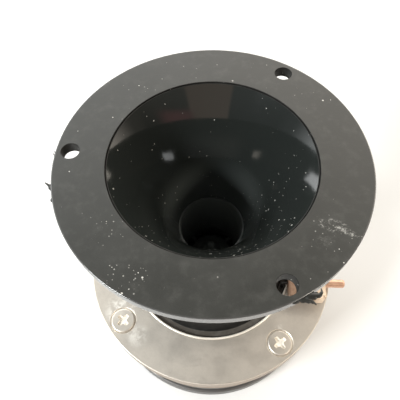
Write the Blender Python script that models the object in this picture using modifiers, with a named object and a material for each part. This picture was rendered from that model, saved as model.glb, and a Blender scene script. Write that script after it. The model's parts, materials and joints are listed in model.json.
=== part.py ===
"""A horn-loaded car tweeter: a black moulded horn with a three-hole flange, clamped by an
aluminium ring onto a ferrite-magnet compression driver that stands on its steel back plate.

The origin is the middle of the rear face, +Z runs up the driver's axis towards the horn's mouth,
and the terminals stick out along +X. Every size is in metres.
"""

import math

import bmesh
import bpy
from mathutils import Matrix, Vector

# ---- driving dimensions ----
GAP = 0.0003              # between pieces that touch on the real object
FINE_GAP = 0.0001         # between turned pieces that share one set of facets
STEPS = 48                # facets round a large turned piece
SMALL_STEPS = 32          # facets round a piece inside the diaphragm's chamber

FLANGE_RADIUS = 0.050
FLANGE_THICKNESS = 0.004
BOSS_RADIUS = 0.0416      # a low step on the flange's back that centres it in a panel's cut-out
BOSS_HEIGHT = 0.0005
MOUTH_RADIUS = 0.0335     # bore of the flange, with the bell's lip just inside it
BELL_MOUTH_RADIUS = 0.0328
BELL_LIP_DEPTH = 0.0008   # the lip sits this far below the flange's face
BELL_SHOULDER_RADIUS = 0.0362
HORN_WALL = 0.0026
BELL_LENGTH = 0.0444      # from the flange's face down to the throat
BELL_END_RADIUS = 0.0129
SPIGOT_RADIUS = 0.0168    # the bell's plain end, which stands in the throat housing's collar
SPIGOT_LENGTH = 0.0045
THROAT_RADIUS = 0.0124
FIXING_RADIUS = 0.00300   # the flange's three holes
FIXING_CIRCLE = 0.04525   # their distance from the axis
FIXING_ANGLE = 56.7       # the first hole, in degrees from +X
FIXING_COUNT = 3

RING_RADIUS = 0.055
RING_BORE = 0.0362
RING_THICKNESS = 0.0085
RING_CHAMFER = 0.0012
HORN_ABOVE_RING = 0.079   # from the ring's face up to the flange's face

PLATE_RADIUS = 0.0540
PLATE_THICKNESS = 0.0095
MAGNET_RADIUS = 0.0515
MAGNET_BORE = 0.027
MAGNET_THICKNESS = 0.024
YOKE_RADIUS = 0.0529
YOKE_THICKNESS = 0.0095
POLE_RADIUS = 0.0212
PLATE_BORE = 0.02295

SCREW_CIRCLE = 0.04815
SCREW_ANGLE = 38.2        # the first ring screw, in degrees from +X
SCREW_COUNT = 4
SCREW_HEAD_RADIUS = 0.00475
SCREW_HEAD_HEIGHT = 0.0026
SCREW_SHANK_RADIUS = 0.0025
SCREW_SHANK_LENGTH = 0.0120
COUNTERBORE_RADIUS = 0.0055
COUNTERBORE_DEPTH = 0.0025

PIN_RADIUS = 0.0018
PIN_HALF_SPACING = 0.0124
PIN_OUTER_END = 0.0595
BLOCK_INNER, BLOCK_OUTER = 0.0345, 0.0505
BLOCK_HALF_WIDTH = 0.0205
BLOCK_HEIGHT = 0.006
BLOCK_SCREW_X, BLOCK_SCREW_Y = 0.0435, 0.0045

# ---- heights, worked out from the stack ----
YOKE_TOP = YOKE_THICKNESS
MAGNET_BOTTOM = YOKE_TOP + GAP
MAGNET_TOP = MAGNET_BOTTOM + MAGNET_THICKNESS
PLATE_BOTTOM = MAGNET_TOP + GAP
PLATE_TOP = PLATE_BOTTOM + PLATE_THICKNESS
RING_BOTTOM = PLATE_TOP + GAP
RING_TOP = RING_BOTTOM + RING_THICKNESS
FLANGE_TOP = RING_TOP + HORN_ABOVE_RING
FLANGE_BOTTOM = FLANGE_TOP - FLANGE_THICKNESS
BOSS_BOTTOM = FLANGE_BOTTOM - BOSS_HEIGHT
THROAT_TOP = FLANGE_TOP - BELL_LENGTH

# The ring's lip presses the horn's foot, the gasket and the diaphragm frame onto the top plate.
FRAME_THICKNESS = 0.0015
GASKET_THICKNESS = 0.0005
FRAME_TOP = RING_BOTTOM + FRAME_THICKNESS
GASKET_BOTTOM = FRAME_TOP + GAP
GASKET_TOP = GASKET_BOTTOM + GASKET_THICKNESS
FOOT_BOTTOM = GASKET_TOP + GAP
FOOT_FLANGE_TOP = FOOT_BOTTOM + 0.0017
LIP_BOTTOM = FOOT_FLANGE_TOP + GAP
FOOT_TOP = RING_TOP - 0.001
FOOT_FLANGE_RADIUS = 0.0396
FOOT_RADIUS = RING_BORE - 0.0004
LOWER_BORE = FOOT_FLANGE_RADIUS + 0.0006

# The throat housing's base cup, its neck, its collar, and the socket that holds the phase plug.
CUP_RADIUS = 0.0332
CUP_TOP_RADIUS = 0.0320
CUP_TOP = 0.063
NECK_RADIUS = 0.0160
NECK_BOTTOM = 0.076
COLLAR_RADIUS = 0.0202
COLLAR_HEIGHT = 0.0042    # how far the collar rises past the throat
SOCKET_RADIUS = 0.0248
SOCKET_TOP = 0.061
PLUG_BORE_RADIUS = 0.0120

# The diaphragm's dome is a cap of a sphere, and the phase plug's underside follows it.
DOME_RADIUS = 0.0215
DOME_RIM_Z = FRAME_TOP - 0.0003
DOME_HEIGHT = 0.007
DOME_SKIN = 0.0004
SPHERE_RADIUS = (DOME_RADIUS ** 2 + DOME_HEIGHT ** 2) / (2 * DOME_HEIGHT)
SPHERE_Z = DOME_RIM_Z + DOME_HEIGHT - SPHERE_RADIUS
PLUG_CLEARANCE = 0.001
FORMER_INNER, FORMER_OUTER = 0.02155, 0.02180
COIL_INNER, COIL_OUTER = FORMER_OUTER + FINE_GAP, 0.0225
SURROUND_INNER, SURROUND_OUTER = 0.0225, 0.0260
FRAME_INNER = SURROUND_OUTER + 0.0002

LEAD_RADIUS = 0.0005      # the bent wire from a terminal pin down to a coil lead
LEAD_CIRCLE = 0.0346
LEAD_X = math.sqrt(LEAD_CIRCLE ** 2 - PIN_HALF_SPACING ** 2)
PIN_INNER_END = BLOCK_INNER + 0.0002
PIN_Z = RING_TOP + GAP + BLOCK_HEIGHT / 2

# ---- scene, collections and materials ----
for old in list(bpy.data.objects):
    bpy.data.objects.remove(old, do_unlink=True)

PARTS = bpy.data.collections.new("horn_tweeter")
CUTTERS = bpy.data.collections.new("cutters")
for group in (PARTS, CUTTERS):
    bpy.context.scene.collection.children.link(group)


def material(name, colour, roughness, metallic=0.0):
    """A Principled material with one colour."""
    made = bpy.data.materials.new(name)
    made.use_nodes = True
    shader = made.node_tree.nodes["Principled BSDF"]
    shader.inputs["Base Color"].default_value = (*colour, 1.0)
    shader.inputs["Roughness"].default_value = roughness
    shader.inputs["Metallic"].default_value = metallic
    return made


BLACK_PLASTIC = material("black_plastic", (0.030, 0.031, 0.030), 0.35)
CAST_ALUMINIUM = material("cast_aluminium", (0.62, 0.60, 0.57), 0.42, 1.0)
ZINC_STEEL = material("zinc_steel", (0.60, 0.50, 0.36), 0.38, 1.0)
SCREW_STEEL = material("screw_steel", (0.70, 0.69, 0.66), 0.30, 1.0)
BLACK_STEEL = material("black_steel", (0.06, 0.06, 0.065), 0.45, 0.8)
FERRITE = material("ferrite", (0.09, 0.09, 0.095), 0.6)
PHENOLIC = material("phenolic", (0.45, 0.27, 0.16), 0.45)
COPPER = material("copper", (0.80, 0.48, 0.33), 0.25, 1.0)
TITANIUM = material("titanium", (0.55, 0.54, 0.52), 0.3, 1.0)
FILM = material("film", (0.62, 0.40, 0.14), 0.4)
FIBRE = material("fibre", (0.25, 0.24, 0.22), 0.9)
FELT = material("felt", (0.20, 0.20, 0.21), 0.95)


# ---- makers ----
def new_object(name, mesh, colour=None, group=PARTS):
    """Links a mesh as an object, with its one material."""
    made = bpy.data.objects.new(name, mesh)
    if colour is not None:
        mesh.materials.append(colour)
    group.objects.link(made)
    return made


def hide_as_cutter(made):
    made.hide_render = True
    made.display_type = "WIRE"
    return made


def turned(name, profile, colour=None, steps=STEPS, group=PARTS):
    """Turns a profile of (radius, height) points about Z.

    The points run down the outer side. A profile that starts and ends on the axis makes a plain
    solid, and any other is closed into a ring.
    """
    points = [Vector((radius, 0.0, height)) for radius, height in profile]
    on_axis = profile[0][0] == 0.0
    edges = [(i, i + 1) for i in range(len(points) - 1)]
    if not on_axis:
        edges.append((len(points) - 1, 0))
    mesh = bpy.data.meshes.new(name)
    mesh.from_pydata(points, edges, [])
    made = new_object(name, mesh, colour, group)
    screw = made.modifiers.new("Turn", "SCREW")
    screw.axis = "Z"
    screw.steps = steps
    screw.render_steps = steps
    screw.use_merge_vertices = True
    screw.merge_threshold = 0.00001
    screw.use_smooth_shade = True
    return made


def cylinder(name, radius, start, end, colour=None, sides=32, group=PARTS):
    """A round bar between two points."""
    start, end = Vector(start), Vector(end)
    mesh = bpy.data.meshes.new(name)
    shape = bmesh.new()
    bmesh.ops.create_cone(
        shape, cap_ends=True, segments=sides, radius1=radius, radius2=radius, depth=(end - start).length
    )
    shape.to_mesh(mesh)
    shape.free()
    made = new_object(name, mesh, colour, group)
    made.location = (start + end) / 2
    made.rotation_mode = "QUATERNION"
    made.rotation_quaternion = (end - start).to_track_quat("Z", "Y")
    return made


def box(name, low, high, colour=None, group=PARTS):
    """A block between two corners."""
    low, high = Vector(low), Vector(high)
    mesh = bpy.data.meshes.new(name)
    shape = bmesh.new()
    bmesh.ops.create_cube(shape, size=1.0)
    bmesh.ops.scale(shape, vec=high - low, verts=shape.verts)
    shape.to_mesh(mesh)
    shape.free()
    made = new_object(name, mesh, colour, group)
    made.location = (low + high) / 2
    return made


def boolean(made, other, operation="DIFFERENCE"):
    """Cuts a helper object from a piece, or joins it to the piece."""
    step = made.modifiers.new(other.name, "BOOLEAN")
    step.operation = operation
    step.solver = "EXACT"
    step.object = hide_as_cutter(other)
    return made


def on_circle(radius, degrees, height):
    turn = math.radians(degrees)
    return Vector((radius * math.cos(turn), radius * math.sin(turn), height))


def fixing_angles():
    return [FIXING_ANGLE + i * 360 / FIXING_COUNT for i in range(FIXING_COUNT)]


def screw_angles():
    return [SCREW_ANGLE + i * 360 / SCREW_COUNT for i in range(SCREW_COUNT)]


# ---- the horn: its flange, its bell and its throat housing ----
def bell_radius(depth):
    """The exponential bell's inner radius, at a depth below the flange's face."""
    share = (depth - BELL_LIP_DEPTH) / (BELL_LENGTH - BELL_LIP_DEPTH)
    return BELL_MOUTH_RADIUS * (BELL_END_RADIUS / BELL_MOUTH_RADIUS) ** share


def bell_curve(offset, start, end, count):
    """Points at equal depths along the bell, offset outwards from its inner surface."""
    depths = [start + (end - start) * i / (count - 1) for i in range(count)]
    return [(bell_radius(depth) + offset, FLANGE_TOP - depth) for depth in depths]


def make_flange():
    edge = 0.0004
    flange = turned("horn_flange", [
        (FLANGE_RADIUS - edge, FLANGE_TOP),
        (FLANGE_RADIUS, FLANGE_TOP - edge),
        (FLANGE_RADIUS, FLANGE_BOTTOM + edge),
        (FLANGE_RADIUS - edge, FLANGE_BOTTOM),
        (BOSS_RADIUS, FLANGE_BOTTOM),
        (BOSS_RADIUS, BOSS_BOTTOM),
        (MOUTH_RADIUS, BOSS_BOTTOM),
        (MOUTH_RADIUS, FLANGE_TOP),
    ], BLACK_PLASTIC)
    for i, degrees in enumerate(fixing_angles()):
        bottom = on_circle(FIXING_CIRCLE, degrees, FLANGE_BOTTOM - 0.001)
        top = on_circle(FIXING_CIRCLE, degrees, FLANGE_TOP + 0.001)
        boolean(flange, cylinder(f"fixing_cut_{i + 1}", FIXING_RADIUS, bottom, top, None, 32, CUTTERS))


def make_rib(name, degrees):
    """A gusset on the bell's outside, under the flange."""
    middle = bell_curve(HORN_WALL / 2, FLANGE_THICKNESS + BOSS_HEIGHT + GAP, BELL_LENGTH - 0.010, 6)
    outer = [(0.0410, BOSS_BOTTOM - GAP), (0.0410, BOSS_BOTTOM - 0.0035)]
    outline = [Vector((radius, 0.0, height)) for radius, height in middle + outer[::-1]]
    half = 0.0012
    mesh = bpy.data.meshes.new(name)
    shape = bmesh.new()
    face = shape.faces.new([shape.verts.new(point - Vector((0, half, 0))) for point in outline])
    grown = bmesh.ops.extrude_face_region(shape, geom=[face])
    moved = [item for item in grown["geom"] if isinstance(item, bmesh.types.BMVert)]
    bmesh.ops.translate(shape, vec=(0, 2 * half, 0), verts=moved)
    bmesh.ops.recalc_face_normals(shape, faces=shape.faces)
    bmesh.ops.transform(shape, matrix=Matrix.Rotation(math.radians(degrees), 4, "Z"), verts=shape.verts)
    shape.to_mesh(mesh)
    shape.free()
    return new_object(name, mesh, None, CUTTERS)


def make_bell():
    """The flared wall: a thin lip inside the flange's bore, a shoulder under it, and a plain end."""
    lip_radius = MOUTH_RADIUS - 0.0002
    spigot_top = THROAT_TOP + SPIGOT_LENGTH
    outside = [
        (lip_radius, FLANGE_TOP - BELL_LIP_DEPTH),
        (lip_radius, BOSS_BOTTOM - GAP),
        (BELL_SHOULDER_RADIUS, BOSS_BOTTOM - GAP),
        (BELL_SHOULDER_RADIUS, BOSS_BOTTOM - 0.0018),
    ]
    outside += bell_curve(HORN_WALL, FLANGE_THICKNESS + 0.003, FLANGE_TOP - spigot_top, 6)
    outside += [(SPIGOT_RADIUS, spigot_top - 0.0002), (SPIGOT_RADIUS, THROAT_TOP)]
    bell = turned("horn_bell", outside + bell_curve(0.0, BELL_LENGTH, BELL_LIP_DEPTH, 10), BLACK_PLASTIC)
    for i in range(FIXING_COUNT):
        rib = make_rib(f"rib_{i + 1}", FIXING_ANGLE + 60 + i * 360 / FIXING_COUNT)
        boolean(bell, rib, "UNION")


def make_throat_housing():
    """The collar round the bell's end, the neck, and the cup whose foot the clamp ring holds down."""
    throat = THROAT_TOP - GAP
    collar_top = THROAT_TOP + COLLAR_HEIGHT
    collar = [
        (COLLAR_RADIUS, collar_top),
        (COLLAR_RADIUS, throat - 0.0020),
        (NECK_RADIUS, throat - 0.0050),
        (NECK_RADIUS, NECK_BOTTOM),
    ]
    shoulder = []
    for i in range(1, 5):
        turn = i / 4 * math.pi / 2
        shoulder.append((
            CUP_TOP_RADIUS - (CUP_TOP_RADIUS - NECK_RADIUS) * math.cos(turn),
            CUP_TOP + (NECK_BOTTOM - CUP_TOP) * (1 - math.sin(turn)),
        ))
    foot = [
        (CUP_RADIUS, FOOT_TOP),
        (FOOT_RADIUS, FOOT_TOP),
        (FOOT_RADIUS, FOOT_FLANGE_TOP),
        (FOOT_FLANGE_RADIUS, FOOT_FLANGE_TOP),
        (FOOT_FLANGE_RADIUS, FOOT_BOTTOM),
        (SOCKET_RADIUS, FOOT_BOTTOM),
    ]
    bore = [
        (SOCKET_RADIUS, SOCKET_TOP),
        (PLUG_BORE_RADIUS, SOCKET_TOP),
        (THROAT_RADIUS, throat),
        (SPIGOT_RADIUS + GAP, throat),
        (SPIGOT_RADIUS + GAP, collar_top),
    ]
    housing = turned("throat_housing", collar + shoulder + foot + bore, BLACK_PLASTIC)
    for side in (-1, 1):
        place = (LEAD_X, side * PIN_HALF_SPACING)
        cut = cylinder(
            f"lead_cut_{side}", LEAD_RADIUS + GAP, (*place, FOOT_BOTTOM - 0.001), (*place, FOOT_TOP + 0.001),
            None, 16, CUTTERS,
        )
        boolean(housing, cut)


# ---- the phase plug ----
def plug_underside(radius):
    """Height of the plug's hollow underside, which follows the dome."""
    return SPHERE_Z + math.sqrt((SPHERE_RADIUS + PLUG_CLEARANCE) ** 2 - radius ** 2)


def make_phase_plug():
    bottom = FOOT_BOTTOM + 0.0002
    top = SOCKET_TOP - GAP
    outer_radius = SOCKET_RADIUS - GAP
    slot_outer, slot_inner = 0.0148, 0.0132
    rim = math.sqrt((SPHERE_RADIUS + PLUG_CLEARANCE) ** 2 - (bottom - SPHERE_Z) ** 2)
    hollow = [rim + (slot_outer - rim) * i / 4 for i in range(5)]
    ring = [(outer_radius, top), (outer_radius, bottom)]
    ring += [(radius, plug_underside(radius)) for radius in hollow]
    ring += [(0.0129, 0.0535), (PLUG_BORE_RADIUS, top)]
    plug = turned("phase_plug", ring, BLACK_PLASTIC, SMALL_STEPS)
    bullet = [(0.0, 0.0690), (0.0014, 0.0684), (0.0046, 0.0630), (0.0082, top), (0.0110, 0.0530)]
    bullet += [(slot_inner * (4 - i) / 4, plug_underside(slot_inner * (4 - i) / 4)) for i in range(5)]
    web_bottom = plug_underside(0.0070) + 0.0002
    for i in range(4):
        web = box(f"web_{i + 1}", (0.0070, -0.0008, web_bottom), (0.0145, 0.0008, 0.0575), None, CUTTERS)
        turn = math.radians(45 + 90 * i)
        web.location = Matrix.Rotation(turn, 4, "Z") @ web.location
        web.rotation_euler = (0, 0, turn)
        boolean(plug, web, "UNION")
    boolean(plug, turned("bullet", bullet, None, SMALL_STEPS, CUTTERS), "UNION")


# ---- the clamp ring and its screws ----
def make_ring():
    edge = 0.0010
    ring = turned("clamp_ring", [
        (RING_RADIUS - edge, RING_TOP),
        (RING_RADIUS - edge * 0.3, RING_TOP - edge * 0.3),
        (RING_RADIUS, RING_TOP - edge),
        (RING_RADIUS, RING_BOTTOM),
        (LOWER_BORE, RING_BOTTOM),
        (LOWER_BORE, LIP_BOTTOM),
        (RING_BORE, LIP_BOTTOM),
        (RING_BORE, RING_TOP - RING_CHAMFER),
        (RING_BORE + RING_CHAMFER, RING_TOP),
    ], CAST_ALUMINIUM)
    for i, degrees in enumerate(screw_angles()):
        floor = RING_TOP - COUNTERBORE_DEPTH
        top = on_circle(SCREW_CIRCLE, degrees, RING_TOP + 0.001)
        sunk = cylinder(
            f"counterbore_{i + 1}", COUNTERBORE_RADIUS, on_circle(SCREW_CIRCLE, degrees, floor), top,
            None, 32, CUTTERS,
        )
        through = cylinder(
            f"screw_way_{i + 1}", SCREW_SHANK_RADIUS + GAP,
            on_circle(SCREW_CIRCLE, degrees, RING_BOTTOM - 0.001), top, None, 24, CUTTERS,
        )
        boolean(boolean(ring, sunk), through)
    for side in (-1, 1):
        place = (BLOCK_SCREW_X, side * BLOCK_SCREW_Y)
        way = cylinder(
            f"block_screw_way_{side}", 0.0015 + GAP, (*place, RING_BOTTOM + 0.0015),
            (*place, RING_TOP + 0.001), None, 16, CUTTERS,
        )
        boolean(ring, way)


def make_cross_cutter(name, half_length, half_width, depth):
    """A tapered plus shape, open face up at its origin, for a cross recess."""
    long, wide = half_length, half_width
    outline = [
        (long, -wide), (long, wide), (wide, wide), (wide, long), (-wide, long), (-wide, wide),
        (-long, wide), (-long, -wide), (-wide, -wide), (-wide, -long), (wide, -long), (wide, -wide),
    ]
    mesh = bpy.data.meshes.new(name)
    shape = bmesh.new()
    above = 0.0005
    upper = [shape.verts.new((x, y, above)) for x, y in outline]
    lower = [shape.verts.new((x * 0.6, y * 0.6, -depth)) for x, y in outline]
    shape.faces.new(upper)
    shape.faces.new(lower[::-1])
    for i in range(len(outline)):
        j = (i + 1) % len(outline)
        shape.faces.new((upper[j], upper[i], lower[i], lower[j]))
    bmesh.ops.recalc_face_normals(shape, faces=shape.faces)
    shape.to_mesh(mesh)
    shape.free()
    return new_object(name, mesh, None, CUTTERS)


def make_screw(name, place, head_radius, head_height, shank_radius, shank_length, turn, colour):
    """A pan-head screw with a cross recess, standing with the underside of its head at place."""
    screw = turned(name, [
        (0.0, head_height),
        (head_radius * 0.55, head_height * 0.97),
        (head_radius * 0.85, head_height * 0.76),
        (head_radius, head_height * 0.35),
        (head_radius, 0.0),
        (shank_radius, 0.0),
        (shank_radius, -shank_length + shank_radius * 0.4),
        (shank_radius * 0.6, -shank_length),
        (0.0, -shank_length),
    ], colour, 16)
    screw.location = place
    cross = make_cross_cutter(f"{name}_cross", head_radius * 0.58, head_radius * 0.12, head_height * 0.60)
    cross.location = Vector(place) + Vector((0, 0, head_height))
    cross.rotation_euler = (0, 0, math.radians(turn))
    boolean(screw, cross)


def make_ring_screws():
    seat = RING_TOP - COUNTERBORE_DEPTH + GAP
    for i, degrees in enumerate(screw_angles()):
        make_screw(
            f"ring_screw_{i + 1}", on_circle(SCREW_CIRCLE, degrees, seat), SCREW_HEAD_RADIUS,
            SCREW_HEAD_HEIGHT, SCREW_SHANK_RADIUS, SCREW_SHANK_LENGTH, 25 * i + 10, SCREW_STEEL,
        )


# ---- the motor ----
def make_motor():
    plate = turned("top_plate", [
        (PLATE_RADIUS, PLATE_TOP), (PLATE_RADIUS, PLATE_BOTTOM),
        (PLATE_BORE, PLATE_BOTTOM), (PLATE_BORE, PLATE_TOP),
    ], ZINC_STEEL)
    tip = RING_TOP - COUNTERBORE_DEPTH + GAP - SCREW_SHANK_LENGTH
    for i, degrees in enumerate(screw_angles()):
        thread = cylinder(
            f"thread_{i + 1}", SCREW_SHANK_RADIUS + GAP, on_circle(SCREW_CIRCLE, degrees, tip - 0.0004),
            on_circle(SCREW_CIRCLE, degrees, PLATE_TOP + 0.001), None, 24, CUTTERS,
        )
        boolean(plate, thread)
    turned("magnet", [
        (MAGNET_RADIUS - 0.001, MAGNET_TOP), (MAGNET_RADIUS, MAGNET_TOP - 0.001),
        (MAGNET_RADIUS, MAGNET_BOTTOM + 0.001), (MAGNET_RADIUS - 0.001, MAGNET_BOTTOM),
        (MAGNET_BORE, MAGNET_BOTTOM), (MAGNET_BORE, MAGNET_TOP),
    ], FERRITE)
    edge = 0.0008
    turned("yoke", [
        (0.0, PLATE_TOP), (POLE_RADIUS - 0.0006, PLATE_TOP), (POLE_RADIUS, PLATE_TOP - 0.0006),
        (POLE_RADIUS, YOKE_TOP), (YOKE_RADIUS - edge, YOKE_TOP), (YOKE_RADIUS, YOKE_TOP - edge),
        (YOKE_RADIUS, edge), (YOKE_RADIUS - edge, 0.0), (0.0, 0.0),
    ], BLACK_STEEL)


# ---- the diaphragm and what carries it ----
def make_diaphragm():
    radii = [DOME_RADIUS * i / 6 for i in range(7)]
    outer = [(r, SPHERE_Z + math.sqrt(SPHERE_RADIUS ** 2 - r ** 2)) for r in radii]
    thin = SPHERE_RADIUS - DOME_SKIN
    inner_edge = 0.0208
    inner = [(inner_edge * (6 - i) / 6, 0.0) for i in range(7)]
    inner = [(r, SPHERE_Z + math.sqrt(thin ** 2 - r ** 2)) for r, _ in inner]
    rim = [(SURROUND_INNER - FINE_GAP, DOME_RIM_Z), (SURROUND_INNER - FINE_GAP, DOME_RIM_Z - 0.0003)]
    rim.append((inner_edge, DOME_RIM_Z - 0.0003))
    turned("diaphragm_dome", outer + rim + inner, TITANIUM, SMALL_STEPS)
    former_top = DOME_RIM_Z - 0.0003 - FINE_GAP
    former_bottom = PLATE_BOTTOM + 0.001
    turned("coil_former", [
        (FORMER_OUTER, former_top), (FORMER_OUTER, former_bottom),
        (FORMER_INNER, former_bottom), (FORMER_INNER, former_top),
    ], FILM, SMALL_STEPS)
    turned("voice_coil", [
        (COIL_OUTER, PLATE_TOP - 0.0015), (COIL_OUTER, former_bottom + 0.0005),
        (COIL_INNER, former_bottom + 0.0005), (COIL_INNER, PLATE_TOP - 0.0015),
    ], COPPER, SMALL_STEPS)


def make_surround():
    """The half roll that lets the dome move: it dips between two flat lips."""
    flat_inner, flat_outer = 0.0229, 0.0255
    middle, roll = (flat_inner + flat_outer) / 2, (flat_outer - flat_inner) / 2
    top, skin = DOME_RIM_Z, 0.0002
    upper, lower = [], []
    for i in range(5):
        turn = math.pi * i / 4
        upper.append((middle - roll * math.cos(turn), top - (roll - skin) * math.sin(turn) * 0.7))
        lower.append((middle + roll * math.cos(turn), top - skin - (roll - skin) * math.sin(turn) * 0.7))
    profile = [(SURROUND_INNER, top), *upper, (SURROUND_OUTER, top), (SURROUND_OUTER, top - skin)]
    turned("surround", profile + lower + [(SURROUND_INNER, top - skin)], FILM, SMALL_STEPS)


def make_frame_and_gasket():
    turned("diaphragm_frame", [
        (FOOT_FLANGE_RADIUS, FRAME_TOP), (FOOT_FLANGE_RADIUS, RING_BOTTOM), (FRAME_INNER, RING_BOTTOM),
        (FRAME_INNER, FRAME_TOP),
    ], PHENOLIC)
    gasket = turned("horn_gasket", [
        (FOOT_FLANGE_RADIUS, GASKET_TOP), (FOOT_FLANGE_RADIUS, GASKET_BOTTOM), (FRAME_INNER, GASKET_BOTTOM),
        (FRAME_INNER, GASKET_TOP),
    ], FIBRE)
    turn = math.atan2(PIN_HALF_SPACING, LEAD_X)
    lead_inner, lead_outer = 0.0266, LEAD_CIRCLE + 0.0010
    for side, name in ((-1, "positive"), (1, "negative")):
        slot = box(
            f"lead_slot_{name}", (FRAME_INNER - 0.001, -0.0014, GASKET_BOTTOM - 0.0005),
            (lead_outer + 0.0004, 0.0014, GASKET_TOP + 0.0005), None, CUTTERS,
        )
        ribbon = box(
            f"coil_lead_{name}", (lead_inner, -0.0010, GASKET_BOTTOM), (lead_outer, 0.0010, GASKET_TOP),
            COPPER,
        )
        for made in (slot, ribbon):
            made.location = Matrix.Rotation(side * turn, 4, "Z") @ made.location
            made.rotation_euler = (0, 0, side * turn)
        boolean(gasket, slot)


def make_felt():
    bottom, top, radius = PLATE_TOP + GAP, PLATE_TOP + GAP + 0.003, 0.0140
    turned("damping_felt", [
        (0.0, top), (radius - 0.0008, top), (radius, top - 0.0008), (radius, bottom), (0.0, bottom),
    ], FELT, SMALL_STEPS)


# ---- the terminals ----
def make_terminals():
    bottom, top = RING_TOP + GAP, RING_TOP + GAP + BLOCK_HEIGHT
    block = box(
        "terminal_block", (BLOCK_INNER, -BLOCK_HALF_WIDTH, bottom), (BLOCK_OUTER, BLOCK_HALF_WIDTH, top),
        PHENOLIC,
    )
    bevel = block.modifiers.new("Edges", "BEVEL")
    bevel.width = 0.0008
    bevel.segments = 2
    for side, name in ((-1, "positive"), (1, "negative")):
        y = side * PIN_HALF_SPACING
        way = cylinder(
            f"pin_way_{name}", PIN_RADIUS + GAP, (BLOCK_INNER - 0.001, y, PIN_Z),
            (BLOCK_OUTER + 0.001, y, PIN_Z), None, 24, CUTTERS,
        )
        boolean(block, way)
        screw_way = cylinder(
            f"block_way_{name}", 0.0015 + GAP, (BLOCK_SCREW_X, side * BLOCK_SCREW_Y, bottom - 0.001),
            (BLOCK_SCREW_X, side * BLOCK_SCREW_Y, top + 0.001), None, 16, CUTTERS,
        )
        boolean(block, screw_way)
        make_screw(
            f"block_screw_{name}", (BLOCK_SCREW_X, side * BLOCK_SCREW_Y, top + GAP),
            0.0028, 0.0020, 0.0015, 0.0105, 30 * side, SCREW_STEEL,
        )
        length = PIN_OUTER_END - PIN_INNER_END
        pin = turned(f"terminal_pin_{name}", [
            (0.0, length), (PIN_RADIUS * 0.7, length), (PIN_RADIUS * 0.92, length - 0.0003),
            (PIN_RADIUS, length - 0.0008), (PIN_RADIUS, 0.0), (0.0, 0.0),
        ], COPPER, 20)
        pin.location = (PIN_INNER_END, y, PIN_Z)
        pin.rotation_euler = (0, math.pi / 2, 0)
        wire = cylinder(
            f"lead_wire_{name}", LEAD_RADIUS, (LEAD_X, y, GASKET_TOP + GAP), (LEAD_X, y, PIN_Z),
            BLACK_PLASTIC, 12,
        )
        arm = cylinder(
            f"wire_arm_{name}", LEAD_RADIUS * 0.98, (LEAD_X - LEAD_RADIUS / 2, y, PIN_Z - LEAD_RADIUS * 1.2),
            (PIN_INNER_END - 0.0002, y, PIN_Z - LEAD_RADIUS * 1.2), None, 12, CUTTERS,
        )
        boolean(wire, arm, "UNION")


make_flange()
make_bell()
make_throat_housing()
make_phase_plug()
make_ring()
make_ring_screws()
make_motor()
make_diaphragm()
make_surround()
make_frame_and_gasket()
make_felt()
make_terminals()
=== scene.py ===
"""Looks for the horn-loaded car tweeter: finely turned visual pieces and procedural materials
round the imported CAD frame, on a plain pale floor.
"""

import json
import math

import bmesh
import bpy
from mathutils import Matrix, Vector

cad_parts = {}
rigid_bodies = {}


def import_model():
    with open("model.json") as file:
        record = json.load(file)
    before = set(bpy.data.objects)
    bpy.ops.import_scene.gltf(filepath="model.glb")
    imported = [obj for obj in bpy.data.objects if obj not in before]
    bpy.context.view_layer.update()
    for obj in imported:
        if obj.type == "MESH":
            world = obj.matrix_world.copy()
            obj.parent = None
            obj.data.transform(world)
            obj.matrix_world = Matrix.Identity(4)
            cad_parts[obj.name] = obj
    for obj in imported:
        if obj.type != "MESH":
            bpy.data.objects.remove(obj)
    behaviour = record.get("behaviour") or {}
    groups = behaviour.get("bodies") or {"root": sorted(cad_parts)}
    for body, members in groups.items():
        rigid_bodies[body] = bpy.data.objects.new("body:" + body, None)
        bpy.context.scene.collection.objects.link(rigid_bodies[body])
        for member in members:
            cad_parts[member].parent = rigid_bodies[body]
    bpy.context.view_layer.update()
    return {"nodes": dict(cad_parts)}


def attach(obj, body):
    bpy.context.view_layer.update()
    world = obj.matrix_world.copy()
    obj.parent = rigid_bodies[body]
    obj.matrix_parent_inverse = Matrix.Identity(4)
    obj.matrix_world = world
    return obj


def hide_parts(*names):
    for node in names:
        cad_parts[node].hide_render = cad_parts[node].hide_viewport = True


for old in list(bpy.data.objects):
    bpy.data.objects.remove(old, do_unlink=True)

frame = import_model()
bpy.context.scene.view_settings.view_transform = "Standard"

# ---- sizes, in metres: the CAD's own, and the small steps and edges that it leaves out ----
FLANGE_RADIUS = 0.050
FLANGE_TOP = 0.1314
FLANGE_BOTTOM = 0.1274
BOSS_RADIUS, BOSS_BOTTOM = 0.0416, 0.1269
MOUTH_RADIUS = 0.0335
BELL_MOUTH_RADIUS = 0.0328
BELL_LIP_DEPTH = 0.0008
LIP_TOP_DEPTH = 0.0004
BELL_END_RADIUS = 0.0129
BELL_LENGTH = 0.0444
HORN_WALL = 0.0026
THROAT_TOP = FLANGE_TOP - BELL_LENGTH
THROAT_RADIUS = 0.0124
FIXING_CIRCLE, FIXING_RADIUS, FIXING_ANGLE = 0.04525, 0.0030, 56.7
RING_RADIUS, RING_BORE = 0.055, 0.0362
RING_TOP, RING_BOTTOM = 0.0524, 0.0439
BEAD_WIDTH, BEAD_HEIGHT = 0.0010, 0.00045
LOWER_BORE, LIP_BOTTOM = 0.0402, 0.0485
SCREW_CIRCLE, SCREW_ANGLE = 0.04815, 38.2
COUNTERBORE_RADIUS, COUNTERBORE_DEPTH = 0.0055, 0.0025
SUNK_FLOOR = RING_TOP - 0.0004
BLOCK_INNER, BLOCK_OUTER, BLOCK_HALF_WIDTH = 0.0345, 0.0505, 0.0205
BLOCK_BOTTOM, BLOCK_TOP = 0.0527, 0.0587
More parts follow.
